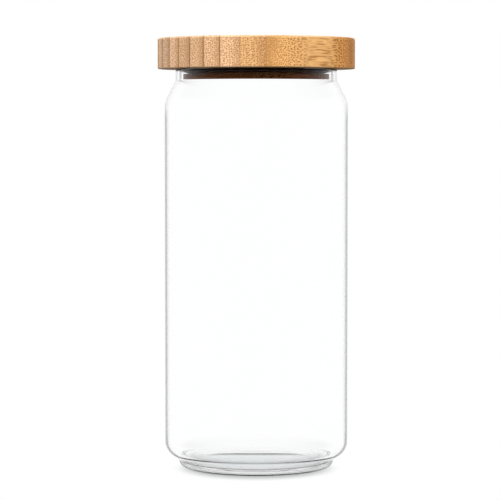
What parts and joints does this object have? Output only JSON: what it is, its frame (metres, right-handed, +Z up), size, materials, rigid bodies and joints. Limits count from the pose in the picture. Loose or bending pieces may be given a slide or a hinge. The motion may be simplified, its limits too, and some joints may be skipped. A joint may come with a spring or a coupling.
{
  "type": "lidded glass canister",
  "caption": "Tall round clear glass storage jar with a sloped shoulder and stepped foot, closed by a pull-off lid of glued bamboo slats with a sealed plug.",
  "frame": {"origin": "centre of the ring that the jar stands on, at the level of the table", "axes": "+Z up along the axis of the jar and lid, -Y towards the viewer of the picture"},
  "size_m": [0.1074, 0.1074, 0.2338],
  "materials": {
    "clear_glass": "clear, glossy",
    "bamboo": "fine sanded, satin",
    "dark_silicone": "satin"
  },
  "bodies": {
    "jar": {"glass_jar": "clear_glass"},
    "seal": {"seal_ring": "dark_silicone"},
    "lid": {"lid_slat_01": "bamboo", "lid_slat_02": "bamboo", "lid_slat_03": "bamboo", "lid_slat_04": "bamboo", "lid_slat_05": "bamboo", "lid_slat_06": "bamboo", "lid_slat_07": "bamboo", "lid_slat_08": "bamboo", "lid_slat_09": "bamboo", "lid_slat_10": "bamboo", "lid_slat_11": "bamboo", "lid_slat_12": "bamboo", "lid_slat_13": "bamboo", "lid_plug": "bamboo"}
  },
  "joints": [
    {"name": "lid_lift", "type": "slide", "parent": "jar", "child": "seal", "axis": [0, 0, 1], "range_m": [0, 0.1]},
    {"name": "lid_turn", "type": "hinge", "parent": "seal", "child": "lid", "pos_m": [0, 0, 0.2195], "axis": [0, 0, 1], "continuous": true}
  ]
}
